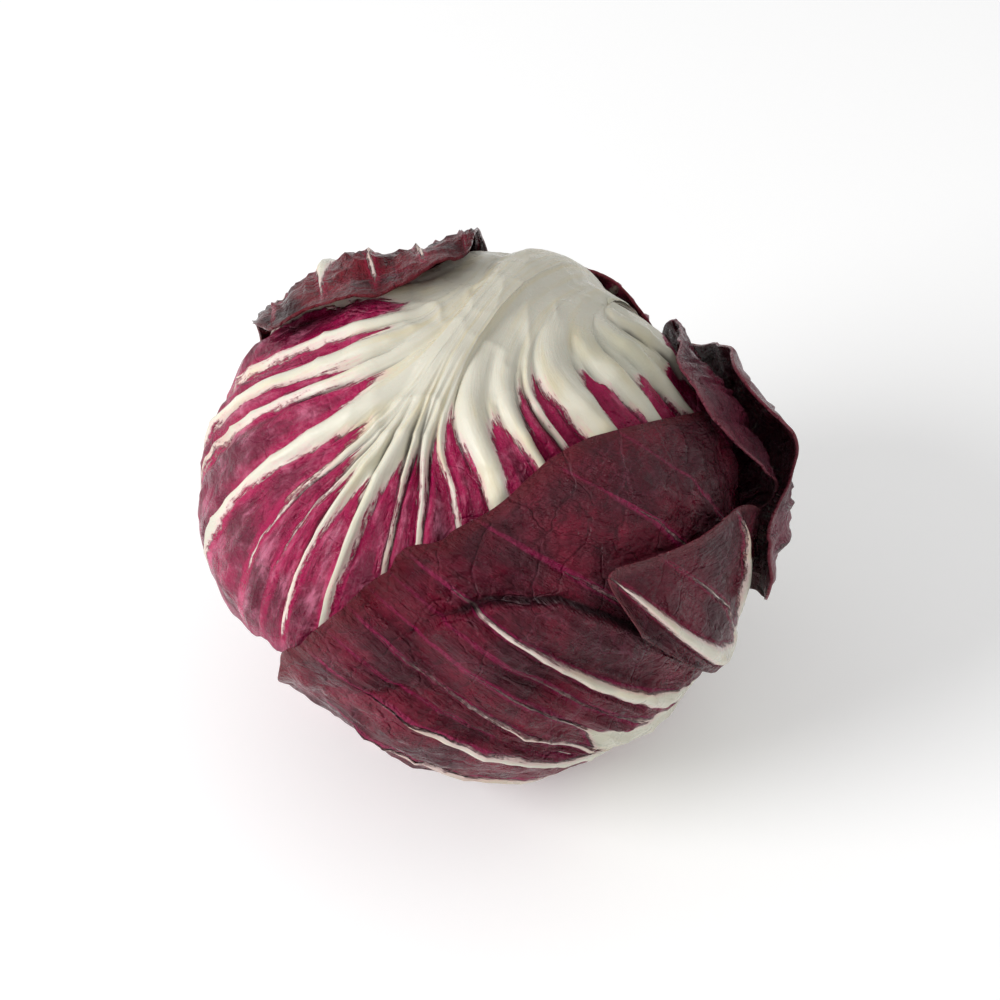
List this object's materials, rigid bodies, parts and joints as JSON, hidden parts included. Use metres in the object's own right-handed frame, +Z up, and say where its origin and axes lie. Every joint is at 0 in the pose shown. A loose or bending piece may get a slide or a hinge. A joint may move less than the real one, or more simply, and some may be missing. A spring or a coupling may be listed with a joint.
{
  "type": "radicchio head",
  "caption": "Loose round head of red radicchio lying on its side, white-ribbed wine-red leaves wrapped over a tight heart and joined at a cut stem.",
  "frame": {"origin": "middle of the head's bounding box, on the surface that it rests on", "axes": "+Z up; +X to the right and +Y away as the head is seen from its open side, with the cut stem behind, to the right and slightly down"},
  "size_m": [0.1298, 0.1228, 0.1206],
  "materials": {
    "stem": "damp cut stem, cream, slightly browned",
    "heart": "waxy leaf, semi-gloss",
    "white_leaf": "waxy leaf with broad white ribs and magenta between them, semi-gloss",
    "wine_leaf": "waxy wine-red leaf with white ribs, semi-gloss",
    "mauve_leaf": "waxy mauve-red leaf with white ribs, satin"
  },
  "bodies": {
    "root": {"stem": "stem", "heart": "heart", "leaf_white_fan": "white_leaf", "leaf_back_left": "wine_leaf", "leaf_front_wrap": "wine_leaf", "leaf_front_fold": "wine_leaf", "leaf_back_cover": "wine_leaf", "leaf_right_lobe": "wine_leaf", "leaf_right_hood": "wine_leaf", "leaf_under": "mauve_leaf"}
  },
  "joints": []
}
